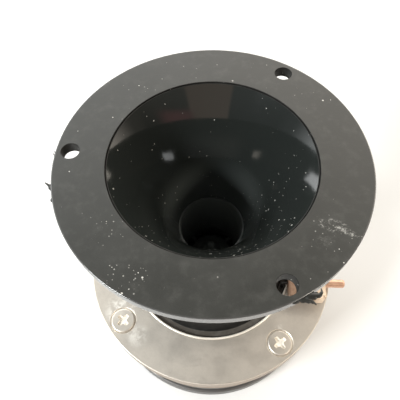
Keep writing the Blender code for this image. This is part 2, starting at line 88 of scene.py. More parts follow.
BLOCK_SCREW_X, BLOCK_SCREW_Y = 0.0435, 0.0045
PIN_HALF_SPACING, PIN_RADIUS, PIN_Z = 0.0124, 0.0018, 0.0557
PIN_OUTER_END = 0.0595
PLATE_RADIUS, PLATE_BORE = 0.0540, 0.02295
PLATE_TOP, PLATE_BOTTOM = 0.0436, 0.0341
MAGNET_RADIUS, MAGNET_BORE = 0.0515, 0.0270
MAGNET_TOP, MAGNET_BOTTOM = 0.0338, 0.0098
YOKE_RADIUS, YOKE_TOP = 0.0529, 0.0095
POLE_RADIUS, POLE_TOP = 0.0212, 0.0436
# Screws: head radius, head height, shank radius and shank length.
RING_SCREW = (0.0052, 0.0026, 0.0025, 0.0120)
BLOCK_SCREW = (0.0028, 0.0020, 0.0015, 0.0105)
WIRE_X = math.sqrt(0.0346 ** 2 - PIN_HALF_SPACING ** 2)
WIRE_HOLE_RADIUS, BLOCK_HOLE_RADIUS = 0.0008, 0.0018
TURN_STEPS = 192
DUST_ON_MATTE = (0.62, 0.61, 0.57)
DUST_ON_GLOSS = (0.55, 0.54, 0.50)
DRIED_SMEAR = (0.90, 0.89, 0.85)
WHITE = (1.0, 1.0, 1.0)


# ---- nodes ----
def rgba(colour):
    """A plain colour as four numbers, and a node's output as it is."""
    return colour if isinstance(colour, bpy.types.NodeSocket) else (*colour, 1.0)


class Nodes:
    """A node tree that is built with short calls."""

    def __init__(self, tree):
        self.tree = tree

    def add(self, kind, **settings):
        node = self.tree.nodes.new(kind)
        for name, value in settings.items():
            setattr(node, name, value)
        return node

    def feed(self, socket, value):
        """Links an output to a socket, or sets a plain value on it."""
        if isinstance(value, bpy.types.NodeSocket):
            self.tree.links.new(value, socket)
        else:
            socket.default_value = value

    def math(self, operation, a, b=0.0, c=0.0, clamp=False):
        node = self.add("ShaderNodeMath", operation=operation, use_clamp=clamp)
        for socket, value in zip(node.inputs, (a, b, c)):
            self.feed(socket, value)
        return node.outputs[0]

    def times(self, first, *others):
        for other in others:
            first = self.math("MULTIPLY", first, other)
        return first

    def ramp(self, value, low, high, start=0.0, end=1.0):
        """Smoothly takes value from start to end as it goes from low to high."""
        node = self.add("ShaderNodeMapRange", interpolation_type="SMOOTHSTEP")
        for name, number in (("From Min", low), ("From Max", high), ("To Min", start), ("To Max", end)):
            node.inputs[name].default_value = number
        self.feed(node.inputs["Value"], value)
        return node.outputs["Result"]

    def blend(self, share, a, b, kind="MIX"):
        node = self.add("ShaderNodeMix", data_type="RGBA", blend_type=kind)
        self.feed(node.inputs["Factor"], share)
        self.feed(node.inputs["A"], rgba(a))
        self.feed(node.inputs["B"], rgba(b))
        return node.outputs["Result"]

    def split(self, vector):
        node = self.add("ShaderNodeSeparateXYZ")
        self.feed(node.inputs[0], vector)
        return node.outputs[0], node.outputs[1], node.outputs[2]


class Look(Nodes):
    """A Principled material, with marks placed by the object's own coordinates."""

    def __init__(self, name, roughness=0.5, metallic=0.0):
        self.material = bpy.data.materials.new(name)
        self.material.use_nodes = True
        super().__init__(self.material.node_tree)
        self.shader = self.tree.nodes["Principled BSDF"]
        self.shader.inputs["Roughness"].default_value = roughness
        self.shader.inputs["Metallic"].default_value = metallic
        self.place = self.add("ShaderNodeTexCoord").outputs["Object"]

    def noise(self, scale, detail=3.0, roughness=0.55, place=None, distortion=0.0):
        node = self.add("ShaderNodeTexNoise")
        self.feed(node.inputs["Vector"], place or self.place)
        node.inputs["Scale"].default_value = scale
        node.inputs["Detail"].default_value = detail
        node.inputs["Roughness"].default_value = roughness
        node.inputs["Distortion"].default_value = distortion
        return node.outputs["Fac"]

    def stretched(self, scale, degrees=0.0):
        """The object's coordinates, turned about Z and scaled."""
        node = self.add("ShaderNodeMapping")
        self.feed(node.inputs["Vector"], self.place)
        node.inputs["Rotation"].default_value = (0.0, 0.0, math.radians(degrees))
        node.inputs["Scale"].default_value = scale
        return node.outputs["Vector"]

    def square_distance(self, x, y):
        return self.math("ADD", self.times(x, x), self.times(y, y))

    def distance(self, x, y):
        return self.math("SQRT", self.square_distance(x, y))

    def round_place(self, around, along):
        """Coordinates that run out from the Z axis, round it and up it, for turned marks."""
        x, y, z = self.split(self.place)
        join = self.add("ShaderNodeCombineXYZ")
        self.feed(join.inputs[0], self.times(self.distance(x, y), along))
        self.feed(join.inputs[1], self.times(self.math("ARCTAN2", y, x), around))
        self.feed(join.inputs[2], self.times(z, along))
        return join.outputs[0]

    def near(self, x, y, reach, soft=0.5):
        """1 at a point of the XY plane, fading to 0 at reach metres from it."""
        here_x, here_y, _ = self.split(self.place)
        gap = self.distance(self.math("SUBTRACT", here_x, x), self.math("SUBTRACT", here_y, y))
        return self.ramp(gap, reach * soft, reach, 1.0, 0.0)

    def more_near(self, level, clusters, soft=0.5):
        """Raises level near each (x, y, reach, amount)."""
        for x, y, reach, amount in clusters:
            level = self.math("MULTIPLY_ADD", self.near(x, y, reach, soft), amount, level)
        return level

    def inside_oval(self, x, y, along, across, degrees):
        """1 well inside an oval that lies turned on the flange, fading to 0 at its edge."""
        shift = self.add("ShaderNodeMapping", vector_type="TEXTURE")
        self.feed(shift.inputs["Vector"], self.place)
        shift.inputs["Location"].default_value = (x, y, FLANGE_TOP)
        shift.inputs["Rotation"].default_value = (0.0, 0.0, math.radians(degrees))
        shift.inputs["Scale"].default_value = (along, across, 1.0)
        u, v, _ = self.split(shift.outputs[0])
        return self.ramp(self.square_distance(u, v), 0.25, 1.0, 1.0, 0.0)

    def specks(self, scale, size, keep):
        """Small round grains: one in each cell of a grid, kept where keep is high."""
        cells = self.add("ShaderNodeTexVoronoi", feature="F1")
        self.feed(cells.inputs["Vector"], self.place)
        cells.inputs["Scale"].default_value = scale
        chance = self.add("ShaderNodeSeparateColor")
        self.feed(chance.inputs[0], cells.outputs["Color"])
        reach = self.times(self.math("POWER", chance.outputs[0], 2.0), size)
        inside = self.math("LESS_THAN", cells.outputs["Distance"], reach)
        kept = self.math("LESS_THAN", chance.outputs[1], keep)
        shade = self.math("MULTIPLY_ADD", chance.outputs[2], 0.75, 0.25)
        return self.times(inside, kept, shade)

    def colour(self, value):
        self.feed(self.shader.inputs["Base Color"], rgba(value))

    def roughness(self, value):
        self.feed(self.shader.inputs["Roughness"], value)

    def bump(self, height, distance):
        node = self.add("ShaderNodeBump")
        node.inputs["Strength"].default_value = 1.0
        node.inputs["Distance"].default_value = distance
        self.feed(node.inputs["Height"], height)
        self.feed(self.shader.inputs["Normal"], node.outputs[0])


def dusty_plastic(name, base, rough, dust_keep, haze, clusters=(), scuffs=(), gloss=0.5):
    """Black moulded plastic with a fine grain, pale dust, and local clusters and scuffs.

    haze is the share of the thin film of dust between the grains.
    """
    look = Look(name)
    look.shader.inputs["Specular IOR Level"].default_value = gloss
    tone = look.noise(60, 4)
    colour = look.blend(tone, [c * 0.8 for c in base], [c * 1.25 for c in base])
    patch = look.ramp(look.noise(38, 3), 0.42, 0.75)
    keep = look.math("MULTIPLY_ADD", patch, dust_keep, dust_keep * 0.35)
    keep = look.more_near(keep, clusters)
    fine = look.specks(1500, 0.34, keep)
    coarse = look.specks(560, 0.24, look.times(keep, 0.8))
    film = look.ramp(look.noise(220, 5, 0.7), 0.45, 0.8, 0.0, haze)
    dust = look.math("MAXIMUM", look.math("MAXIMUM", fine, coarse), film)
    for (x, y), (along, across), degrees, amount in scuffs:
        mask = look.inside_oval(x, y, along, across, degrees)
        streaks = look.noise(1100, 4, 0.75, look.stretched((0.7, 1.0, 1.0), -degrees))
        rubbed = look.ramp(streaks, 0.48, 0.68)
        dust = look.math("MAXIMUM", dust, look.times(mask, rubbed, amount))
    look.colour(look.blend(dust, colour, DUST_ON_MATTE))
    clean = look.ramp(tone, 0.3, 0.7, rough * 0.9, rough * 1.1)
    look.roughness(look.math("MULTIPLY_ADD", dust, 0.9 - rough, clean))
    look.bump(look.noise(2600, 3, 0.6), 0.00002)
    return look.material


def gloss_plastic(name, base, rough, dust_keep, clusters=(), painted_lift=None, gloss=0.5):
    """Polished black moulding with a few grains of dust, and a lighter colour painted in lower down if
    asked.

    painted_lift holds that colour, the height where it starts and the height where it is full: painted
    light that lifts the deep shade of the bell towards its throat.
    """
    look = Look(name)
    look.shader.inputs["Specular IOR Level"].default_value = gloss
    # Painted light: the base turns lighter lower down in the bore, where shade falls.
    if painted_lift:
        lift_colour, lift_start, lift_full = painted_lift
        height = look.split(look.place)[2]
        base = look.blend(look.ramp(height, lift_start, lift_full), base, lift_colour)
    patch = look.ramp(look.noise(55, 3), 0.45, 0.7)
    keep = look.math("MULTIPLY_ADD", patch, dust_keep, dust_keep * 0.3)
    keep = look.more_near(keep, clusters)
    dust = look.math("MAXIMUM", look.specks(1500, 0.34, keep), look.specks(600, 0.22, keep))
    look.colour(look.blend(dust, base, DUST_ON_GLOSS))
    smear = look.ramp(look.noise(90, 5, 0.65), 0.40, 0.75, rough * 0.8, rough * 1.5)
    look.roughness(look.math("MULTIPLY_ADD", dust, 0.8, smear))
    look.bump(look.noise(45, 2, 0.5), 0.00004)
    return look.material


def satin_metal(name, base, rough, tint, around, pits, spots, wander=0.1, smears=()):
    """A cast or plated metal: mottled tone, fine turned marks, small pits and dried smears.

    tint is the mottling's colour and spots its share. around is how many turned marks there are
    to a radian, or 0 for none. pits is the bump's depth, and wander the share by which the
    roughness strays from its mean.
    """
    look = Look(name, metallic=1.0)
    mottled = look.ramp(look.noise(45, 6, 0.6), 0.3, 0.72)
    fine = look.ramp(look.noise(600, 4, 0.7), 0.35, 0.75)
    colour = look.blend(look.times(mottled, spots), base, tint)
    colour = look.blend(look.times(fine, spots * 0.4), colour, [c * 0.72 for c in base])
    matt = look.ramp(look.noise(130, 4, 0.6), 0.3, 0.7, rough * (1 - wander), rough * (1 + wander))
    if smears:
        streaks = look.noise(330, 6, 0.7, None, 0.6)
        film = look.more_near(0.0, smears, 0.3)
        film = look.math("MULTIPLY", film, look.ramp(streaks, 0.40, 0.62), clamp=True)
        colour = look.blend(film, colour, DRIED_SMEAR)
        matt = look.math("MULTIPLY_ADD", film, 0.2, matt)
    look.colour(colour)
    look.roughness(matt)
    grain = look.noise(1500, 3, 0.6)
    if around:
        turned_marks = look.noise(1.0, 2, 0.5, look.round_place(around, 4200.0))
        grain = look.math("ADD", grain, turned_marks)
    look.bump(grain, pits)
    return look.material


def plain_material(name, base, rough, metallic, grain, bump, shade=0.75):
    """One colour that darkens in patches to a share of itself, with a grain of its own scale."""
    look = Look(name, metallic=metallic)
    patch = look.ramp(look.noise(grain * 0.2, 4), 0.3, 0.7)
    look.colour(look.blend(patch, base, [c * shade for c in base]))
    look.roughness(look.ramp(look.noise(grain, 3), 0.3, 0.7, rough * 0.85, rough * 1.15))
    look.bump(look.noise(grain * 2, 3), bump)
    return look.material


def ferrite_material():
    """Ground ferrite: grey, faintly mottled, with fine upright grinding marks."""
    look = Look("ferrite_look")
    marks = look.noise(1.0, 3, 0.6, look.round_place(160.0, 40.0))
    mottled = look.ramp(look.noise(120, 5, 0.65), 0.3, 0.7)
    colour = look.blend(mottled, (0.150, 0.145, 0.130), (0.095, 0.095, 0.088))
    look.colour(look.blend(look.ramp(marks, 0.35, 0.7, 0.0, 0.6), colour, (0.19, 0.18, 0.16)))
    look.roughness(look.ramp(marks, 0.3, 0.7, 0.45, 0.62))
    look.bump(look.math("ADD", marks, look.noise(700, 4, 0.7)), 0.00004)
    return look.material


def phenolic_material():
    """Brown paper laminate with a fleck and dark layers: dark brown as painted shade at its inner part
    under the flange, pale as painted light at its outer end.
    """
    look = Look("phenolic_look")
    # Painted light and shade: pale towards the outer end, dark brown towards the axis.
    lit_share = look.ramp(look.split(look.place)[0], 0.0425, 0.0485)
    fibres = look.noise(700, 4, 0.6, look.stretched((0.6, 1.0, 1.8)))
    layers = look.noise(1800, 2, 0.5, look.stretched((0.05, 0.05, 1.0)))
    flecked = look.ramp(fibres, 0.35, 0.68)
    brown = look.blend(flecked, (0.165, 0.096, 0.060), (0.203, 0.126, 0.081))
    pale = look.blend(flecked, (0.60, 0.465, 0.34), (0.69, 0.55, 0.415))
    colour = look.blend(lit_share, brown, pale)
    look.colour(look.blend(look.ramp(layers, 0.45, 0.65, 0.0, 0.30), colour, (0.26, 0.17, 0.11)))
    look.roughness(look.ramp(fibres, 0.3, 0.7, 0.38, 0.55))
    look.bump(fibres, 0.00003)
    return look.material


def copper_material():
    """Dulled copper plating with darker stains."""
    look = Look("copper_look", metallic=1.0)
    stain = look.ramp(look.noise(260, 4, 0.6), 0.45, 0.75)
    look.colour(look.blend(stain, (0.66, 0.42, 0.30), (0.50, 0.30, 0.21)))
    look.roughness(look.ramp(look.noise(400, 3), 0.3, 0.7, 0.42, 0.56))
    look.bump(look.noise(1600, 3), 0.00001)
    return look.material


# ---- mesh makers ----
def smooth_by_angle(mesh, degrees=32.0):
    """Smooth faces, with the edges that turn more than this kept sharp."""
    shape = bmesh.new()
    shape.from_mesh(mesh)
    limit = math.radians(degrees)
    for face in shape.faces:
        face.smooth = True
    for edge in shape.edges:
        edge.smooth = len(edge.link_faces) == 2 and edge.calc_face_angle(0.0) < limit
    shape.to_mesh(mesh)
    shape.free()


def mesh_object(name, shape, materials):
    """Makes an object of a bmesh, with its faces turned outwards, and frees the bmesh."""
    mesh = bpy.data.meshes.new(name)
    bmesh.ops.recalc_face_normals(shape, faces=shape.faces)
    shape.to_mesh(mesh)
    shape.free()
    for one in materials:
        mesh.materials.append(one)
    made = bpy.data.objects.new(name, mesh)
    bpy.context.scene.collection.objects.link(made)
    return made


def turned_shape(profile, steps=TURN_STEPS, surfaces=None):
    """A bmesh turned about Z from (radius, height) points, closed unless it ends on the axis.

    surfaces gives the material index of each stretch of the profile.
    """
    shape = bmesh.new()
    rings = []
    for radius, height in profile:
        if radius < 1e-7:
            rings.append([shape.verts.new((0.0, 0.0, height))])
            continue
        ring = []
        for i in range(steps):
            turn = 2 * math.pi * i / steps
            ring.append(shape.verts.new((radius * math.cos(turn), radius * math.sin(turn), height)))
        rings.append(ring)
    pairs = [(i, i + 1) for i in range(len(rings) - 1)]
    if len(rings[0]) > 1:
        pairs.append((len(rings) - 1, 0))
    for number, (a, b) in enumerate(pairs):
        upper, lower = rings[a], rings[b]
        for i in range(steps):
            j = (i + 1) % steps
            corners = [
                upper[i % len(upper)], upper[j % len(upper)], lower[j % len(lower)], lower[i % len(lower)],
            ]
            corners = [v for k, v in enumerate(corners) if v not in corners[:k]]
            if len(corners) > 2:
                face = shape.faces.new(corners)
                if surfaces:
                    face.material_index = surfaces[min(number, len(surfaces) - 1)]
    return shape


def rounded(corner, before, after, size, count=4):
    """Points that round a profile's corner by size, between its two neighbours."""
    corner, before, after = Vector(corner), Vector(before), Vector(after)
    start = corner + (before - corner).normalized() * size
    end = corner + (after - corner).normalized() * size
    points = []
    for i in range(count + 1):
        share = i / count
        points.append(tuple((1 - share) ** 2 * start + 2 * share * (1 - share) * corner + share ** 2 * end))
    return points


def soften(profile, sizes, count=4):
    """Rounds the profile's corners: sizes maps a point's number to its rounding."""
    points = []
    total = len(profile)
    for i, point in enumerate(profile):
        if i in sizes:
            points += rounded(point, profile[i - 1], profile[(i + 1) % total], sizes[i], count)
        else:
            points.append(point)
    return points


def cut(made, cutters, operation="DIFFERENCE"):
    """Applies Booleans to a mesh, then removes the helpers."""
    for other in cutters:
        step = made.modifiers.new(other.name, "BOOLEAN")
        step.operation = operation
        step.solver = "EXACT"
        step.material_mode = "TRANSFER" if other.data.materials else "INDEX"
        step.object = other
    depsgraph = bpy.context.evaluated_depsgraph_get()
    finished = bpy.data.meshes.new_from_object(made.evaluated_get(depsgraph), depsgraph=depsgraph)
    made.modifiers.clear()
    made.data = finished
    for other in cutters:
        bpy.data.objects.remove(other, do_unlink=True)


def finish_piece(made, node_names, body="driver", degrees=32.0):
    """Smooths a piece, keeps its flat faces flat, and puts it in place of its CAD nodes."""
    smooth_by_angle(made.data, degrees)
    weighted = made.modifiers.new("Flat faces", "WEIGHTED_NORMAL")
    weighted.keep_sharp = True
    weighted.weight = 90
    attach(made, body)
    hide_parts(*node_names)


def surface_numbers(profile, choose):
    """The material index of each stretch of a closed profile, chosen from its two ends."""
    return [choose(here, profile[(i + 1) % len(profile)]) for i, here in enumerate(profile)]


def on_circle(radius, degrees, height):
    turn = math.radians(degrees)
    return Vector((radius * math.cos(turn), radius * math.sin(turn), height))


def hole_cutter(name, profile, place, steps=64, surface=None):
    """A turned cutter, which leaves its own surface on the hole's walls if it has one."""
    made = mesh_object(name, turned_shape(profile, steps), [surface] if surface else [])
    made.location = place
    return made


# ---- materials ----
# Clusters of dust: x, y, reach, and how much likelier a grain is there.
FLANGE_CLUSTERS = (
    (-0.0300, -0.0245, 0.0080, 0.40),
    (-0.0228, -0.0405, 0.0075, 0.85),
    (-0.0057, -0.0388, 0.0030, 0.20),
    (0.0340, -0.0290, 0.0110, 0.18),
    (0.0330, 0.0230, 0.0080, 0.08),
    (-0.0250, 0.0330, 0.0100, 0.04),
)
# Scuffs on the flange: centre, half length and half width, degrees of turn, and strength.
FLANGE_SCUFFS = (
    ((0.0345, -0.0226), (0.0050, 0.0024), -14.0, 0.60),
    ((0.0395, -0.0250), (0.0042, 0.0013), -22.0, 0.55),
    ((0.0320, -0.0270), (0.0045, 0.0026), 35.0, 0.06),
)
BELL_CLUSTERS = (
    (0.004, -0.030, 0.013, 0.34), (0.017, -0.024, 0.012, 0.20), (-0.014, -0.027, 0.012, 0.22),
    (0.022, 0.0, 0.016, 0.07), (0.0, 0.013, 0.008, 0.10),
)
# Dried smears on the ring: x, y, reach and strength.
RING_SMEARS = (
    (-0.0395, -0.0255, 0.0090, 0.60), (-0.0310, -0.0360, 0.0060, 0.45), (0.0300, -0.0320, 0.0028, 0.45),
)
# Painted light in the bell: a lighter colour towards the throat, with its start height and full height,
# lifting the deep shade there.
BELL_PAINTED_LIGHT = ((0.085, 0.095, 0.091), 0.1080, 0.0885)
FLANGE_LOOK = dusty_plastic(
    "flange_face", (0.022, 0.0225, 0.020), 0.42, 0.035, 0.03, FLANGE_CLUSTERS, FLANGE_SCUFFS,
)
RIM_LOOK = gloss_plastic("flange_rim", (0.055, 0.055, 0.053), 0.20, 0.02, gloss=0.95)
FLASH_LOOK = gloss_plastic("torn_flash", (0.016, 0.016, 0.014), 0.30, 0.02)
BELL_LOOK = gloss_plastic("bell_inside", (0.0125, 0.0145, 0.0135), 0.085, 0.06, BELL_CLUSTERS, BELL_PAINTED_LIGHT)
# The throat and the phase plug are a light grey: painted light that lifts their deep shade. The ledge is
# lighter still with its dust and haze, a painted highlight on its edge.
THROAT_LOOK = gloss_plastic("throat_inside", (0.26, 0.28, 0.27), 0.35, 0.10)
PLUG_LOOK = gloss_plastic("phase_plug_face", (0.26, 0.28, 0.27), 0.50, 0.10)
LEDGE_LOOK = dusty_plastic("throat_ledge_painted_highlight", (0.16, 0.17, 0.165), 0.25, 0.30, 0.20)
BACK_LOOK = dusty_plastic("horn_outside", (0.018, 0.018, 0.017), 0.45, 0.04, 0.04)
SHELL_LOOK = dusty_plastic("throat_housing_outside", (0.010, 0.010, 0.009), 0.62, 0.03, 0.03, gloss=0.25)
FOOT_LOOK = dusty_plastic("foot_top", (0.064, 0.057, 0.049), 0.36, 0.05, 0.08)
RING_LOOK = satin_metal(
    "cast_aluminium_look", (0.57, 0.53, 0.475), 0.58, (0.49, 0.46, 0.415), 0.0, 0.00003, 0.60, 0.08,
    RING_SMEARS,
)
# The ring's side wall is a darker, browner copy of the cast aluminium: painted shade.
RING_SIDE_LOOK = satin_metal("ring_side_painted_shade", (0.40, 0.345, 0.29), 0.58, (0.31, 0.26, 0.21), 30.0, 0.00003, 0.5)
# The ring's outer edge and the rims of its counterbores are a lighter copy of the aluminium: a painted
# highlight.
RIM_LINE_LOOK = satin_metal("edge_painted_highlight", (0.68, 0.63, 0.56), 0.50, (0.60, 0.55, 0.48), 30.0, 0.00001, 0.3)
# Near white and half diffuse: a painted highlight on the bead round the ring's bore and in the screws'
# cross recesses.
PAINTED_HIGHLIGHT_LOOK = plain_material("painted_highlight_edge", (0.93, 0.88, 0.79), 0.45, 0.40, 700, 0.00001, 0.86)
SCREW_LOOK = satin_metal("screw_look", (0.70, 0.655, 0.59), 0.50, (0.58, 0.54, 0.47), 0.0, 0.00001, 0.50)
# Yellow zinc plating, its colour darkened as painted shade for the shaded floor that the plate's edge
# mirrors.
ZINC_LOOK = satin_metal("yellow_zinc_painted_shade", (0.36, 0.27, 0.19), 0.50, (0.27, 0.19, 0.13), 40.0, 0.00002, 0.6)
YOKE_LOOK = satin_metal("dark_zinc", (0.20, 0.195, 0.19), 0.50, (0.13, 0.125, 0.12), 40.0, 0.00002, 0.6)
FERRITE_LOOK = ferrite_material()
PHENOLIC_LOOK = phenolic_material()
COPPER_LOOK = copper_material()
TITANIUM_LOOK = satin_metal(
    "titanium_look", (0.58, 0.56, 0.53), 0.30, (0.48, 0.46, 0.43), 20.0, 0.00001, 0.4,
)
FILM_LOOK = plain_material("polyimide_look", (0.62, 0.36, 0.10), 0.30, 0.0, 500, 0.00001)
FELT_LOOK = plain_material("felt_look", (0.18, 0.18, 0.18), 0.95, 0.0, 1400, 0.0002, 0.6)
FIBRE_LOOK = plain_material("gasket_look", (0.24, 0.22, 0.19), 0.85, 0.0, 900, 0.00006)
WIRE_LOOK = plain_material("winding_look", (0.72, 0.36, 0.20), 0.35, 1.0, 1200, 0.00003)


# ---- the horn ----
def bell_radius(depth):
    """The bell narrows by the same share over each millimetre of depth."""
    share = (depth - BELL_LIP_DEPTH) / (BELL_LENGTH - BELL_LIP_DEPTH)
    return BELL_MOUTH_RADIUS * (BELL_END_RADIUS / BELL_MOUTH_RADIUS) ** share


def bell_curve(offset, start, end, count):
    """Profile points at an offset from the bell's bore, from one depth to another."""
    depths = [start + (end - start) * i / (count - 1) for i in range(count)]
    return [(bell_radius(depth) + offset, FLANGE_TOP - depth) for depth in depths]


def make_flange():
    """The flat plate round the horn's mouth, with a step on its back and three fixing holes."""
    corners = [
        (MOUTH_RADIUS, FLANGE_TOP), (FLANGE_RADIUS, FLANGE_TOP),
        (FLANGE_RADIUS, FLANGE_BOTTOM), (BOSS_RADIUS, FLANGE_BOTTOM),
        (BOSS_RADIUS, BOSS_BOTTOM), (MOUTH_RADIUS, BOSS_BOTTOM),
    ]
    profile = soften(corners, {0: 0.00015, 1: 0.0004, 2: 0.0006, 4: 0.0001, 5: 0.0002})
    face, rim, back, inner_edge = range(4)

    def choose(here, after):
        if abs(here[1] - FLANGE_TOP) < 1e-6 and abs(after[1] - FLANGE_TOP) < 1e-6:
            return face
        if min(here[0], after[0]) < MOUTH_RADIUS + 0.0004:
            return inner_edge
        return back if max(here[1], after[1]) < FLANGE_BOTTOM + 1e-6 else rim

    flange = mesh_object("flange", turned_shape(profile, TURN_STEPS, surface_numbers(profile, choose)), [
        FLANGE_LOOK, RIM_LOOK, BACK_LOOK, SHELL_LOOK,
    ])
    high = FLANGE_TOP - FLANGE_BOTTOM
    shape = [
        (0.0, high + 0.001), (FIXING_RADIUS + 0.0008, high + 0.001), (FIXING_RADIUS, high - 0.0001),
        (FIXING_RADIUS, -0.001), (0.0, -0.001),
    ]
    holes = []
    for i in range(3):
        place = on_circle(FIXING_CIRCLE, FIXING_ANGLE + 120 * i, FLANGE_BOTTOM)
        holes.append(hole_cutter(f"hole_{i + 1}", shape, place, surface=SHELL_LOOK))
    cut(flange, holes)
    finish_piece(flange, ["horn_flange"])


def tapered_curl(shape, path, sides=8):
    """Adds a sliver that thins to its tip, along (degrees, radius, height, half width) points."""
    dense = []
    for (a0, r0, z0, w0), (a1, r1, z1, w1) in zip(path, path[1:]):
        for i in range(5):
            share = i / 5
            ease = share * share * (3 - 2 * share)
            degrees, width = a0 + (a1 - a0) * share, w0 + (w1 - w0) * share
            dense.append((degrees, r0 + (r1 - r0) * ease, z0 + (z1 - z0) * ease, width))
    dense.append(path[-1])
    rings = []
    for i, (degrees, radius, height, width) in enumerate(dense):
        here = on_circle(radius, degrees, height)
        ahead = dense[min(i + 1, len(dense) - 1)]
        behind = dense[max(i - 1, 0)]
        way = on_circle(ahead[1], ahead[0], ahead[2]) - on_circle(behind[1], behind[0], behind[2])
        way.normalize()
        across = way.cross(Vector((0, 0, 1))).normalized()
        upward = across.cross(way)
        rough = 1.0 + 0.08 * math.sin(i * 2.3)
        ring = []
        for k in range(sides):
            turn = 2 * math.pi * k / sides
            offset = across * math.cos(turn) * width * rough + upward * math.sin(turn) * width * 0.45
            ring.append(shape.verts.new(here + offset))
        rings.append(ring)
    for a, b in zip(rings, rings[1:]):
        for k in range(sides):
            m = (k + 1) % sides
            shape.faces.new((a[k], a[m], b[m], b[k]))
    shape.faces.new(rings[0][::-1])
    shape.faces.new(rings[-1])


def make_flash():
    """Torn moulding flash left on the flange's edge: small curled slivers."""
    top = FLANGE_TOP - 0.0010
    edge = FLANGE_RADIUS - 0.0006
    curls = (
        (
            (-65.6, edge, top, 0.0003), (-63.4, edge + 0.0006, top, 0.0005),
            (-61.4, edge + 0.0004, top, 0.0006),
        ),
        (
            (-62.6, edge, top, 0.0008), (-60.8, 0.0502, top, 0.0011), (-59.6, 0.0513, top + 0.0002, 0.0008),
            (-59.1, 0.0523, top + 0.0003, 0.0004), (-58.8, 0.0532, top + 0.0003, 0.00006),
        ),
        (
            (-60.6, edge, top, 0.0009), (-58.9, 0.0503, top + 0.0002, 0.0013),
            (-57.4, 0.0510, top + 0.0004, 0.0010), (-56.4, 0.0516, top + 0.0006, 0.0006),
            (-55.4, 0.0513, top + 0.0007, 0.0004), (-54.6, 0.0504, top + 0.0006, 0.0001),
        ),
        ((179.6, edge, top, 0.0005), (178.4, 0.0502, top, 0.0003), (177.6, 0.0508, top + 0.0002, 0.00006)),
        ((178.2, edge, top, 0.0005), (177.2, 0.0502, top, 0.0003), (176.6, 0.0506, top + 0.0002, 0.00006)),
        (
            (-166.6, edge, top, 0.0010), (-168.2, 0.0504, top, 0.0006),
            (-170.2, 0.0519, top + 0.0003, 0.00006),
        ),
        ((-164.0, edge, top, 0.0005), (-162.4, 0.0501, top, 0.0005), (-160.8, edge, top, 0.0002)),
    )
    shape = bmesh.new()
    for curl in curls:
        tapered_curl(shape, curl)
    flash = mesh_object("moulding_flash", shape, [FLASH_LOOK])
    smooth_by_angle(flash.data, 50.0)
    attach(flash, "driver")


def make_rib(name, degrees):
    """One of the bell's gussets: a thin plate with rounded edges under the flange."""
    middle = bell_curve(HORN_WALL * 0.6, 0.0060, BELL_LENGTH - 0.010, 16)
    top = BOSS_BOTTOM - 0.0003
    outer = [(0.0410, top), (0.0410, top - 0.0030), (0.0404, top - 0.0038)]
    outline = [Vector((r, 0.0, z)) for r, z in [(0.0340, top)] + middle + outer[::-1]]
    shape = bmesh.new()
    half = 0.0012
    sides = [[shape.verts.new(p + Vector((0, s * half, 0))) for p in outline] for s in (-1, 1)]
    shape.faces.new(sides[0])
    shape.faces.new(sides[1][::-1])
    for i in range(len(outline)):
        j = (i + 1) % len(outline)
        shape.faces.new((sides[0][j], sides[0][i], sides[1][i], sides[1][j]))
    bmesh.ops.recalc_face_normals(shape, faces=shape.faces)
    bmesh.ops.rotate(shape, matrix=Matrix.Rotation(math.radians(degrees), 3, "Z"), verts=shape.verts)
    return mesh_object(name, shape, [])


def make_bell():
    """The horn's flared bore with its lip, a spigot into the throat housing and three gussets."""
    lip = MOUTH_RADIUS - 0.0002
    spigot_top, spigot = THROAT_TOP + 0.0045, 0.0168
    outside = [
        (lip - 0.00006, FLANGE_TOP - LIP_TOP_DEPTH), (lip, FLANGE_TOP - LIP_TOP_DEPTH - 0.0001),
        (lip, BOSS_BOTTOM - 0.0003), (0.0360, BOSS_BOTTOM - 0.0003), (0.0362, BOSS_BOTTOM - 0.0005),
        (0.0362, BOSS_BOTTOM - 0.0014), (0.0358, BOSS_BOTTOM - 0.0018),
    ]
    outside += bell_curve(HORN_WALL, 0.0074, FLANGE_TOP - spigot_top, 22)
    outside += [(spigot, spigot_top - 0.0002), (spigot, THROAT_TOP)]
    inside = bell_curve(0.0, BELL_LENGTH, LIP_TOP_DEPTH + 0.0001, 48)
    profile = outside + inside
    bore, back, lip_edge = range(3)
    surfaces = [lip_edge] * 2 + [back] * (len(outside) - 3) + [bore] * len(inside) + [lip_edge]
    bell = mesh_object("bell", turned_shape(profile, TURN_STEPS, surfaces), [
        BELL_LOOK, BACK_LOOK, SHELL_LOOK,
    ])
    for i in range(3):
        rib = make_rib(f"rib_{i + 1}", FIXING_ANGLE + 60 + 120 * i)
        rib.data.materials.append(BACK_LOOK)
        cut(bell, [rib], "UNION")
    finish_piece(bell, ["horn_bell"], degrees=18.0)


